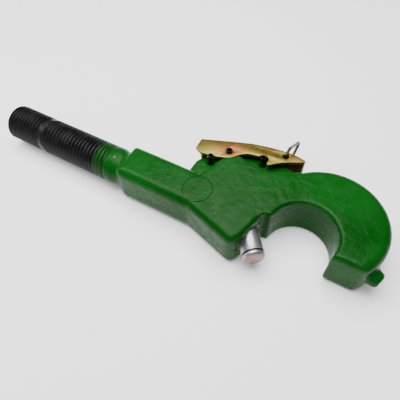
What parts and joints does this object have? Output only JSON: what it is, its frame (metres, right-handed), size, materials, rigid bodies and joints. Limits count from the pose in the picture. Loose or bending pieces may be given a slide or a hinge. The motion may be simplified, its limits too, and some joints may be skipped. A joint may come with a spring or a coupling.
{
  "type": "trailer coupler lock",
  "caption": "Forged steel ball-hook end for a tractor top link, with an M36 threaded stud, a sprung lock pin and a yellow-zinc pull lever with a wire pull ring.",
  "frame": {"origin": "Centre of the ball seat, halfway through the thickness of the hook", "axes": "+X runs along the stud towards the hook's tip, +Y towards the lever and its pull ring, and +Z through the thickness along the ball seat's axis, upwards when the hook lies on its flat back"},
  "size_m": [0.3914, 0.1455, 0.042],
  "materials": {
    "green_paint": "satin green enamel over a scaly forging",
    "black_steel": "satin black oiled thread",
    "bright_zinc": "clear zinc over turned steel",
    "spring_steel": "drawn spring wire",
    "yellow_zinc": "yellow passivated zinc on pressed sheet",
    "pin_steel": "blackened spring steel",
    "wire_steel": "dull grey-brown drawn wire"
  },
  "bodies": {
    "hook": {"hook_body": "green_paint", "threaded_stud": "black_steel", "fulcrum_pin": "pin_steel", "stop_pin": "pin_steel", "lock_spring": "spring_steel"},
    "lock": {"lock_pin": "bright_zinc", "link_pin": "pin_steel"},
    "lever": {"pull_lever": "yellow_zinc"},
    "ring": {"pull_ring": "wire_steel"}
  },
  "joints": [
    {"name": "lock_slide", "type": "slide", "parent": "hook", "child": "lock", "axis": [-0.6225, 0.7826, 0], "range_m": [0, 0.0176], "stiffness_N_per_m": 1500, "springref_m": -0.012, "deforming": ["lock_spring"]},
    {"name": "lever_pivot", "type": "hinge", "parent": "lock", "child": "lever", "pos_m": [-0.09361, 0.05274, 0], "axis": [0, 0, 1], "range_deg": [0, 50]},
    {"name": "ring_swing", "type": "hinge", "parent": "lever", "child": "ring", "pos_m": [-0.044, 0.0717, 0], "axis": [0, 0, 1], "range_deg": [-50, 50]}
  ],
  "couplings": [
    {"joint": "lever_pivot", "follows": "lock_slide", "rad_per_m": 49}
  ]
}
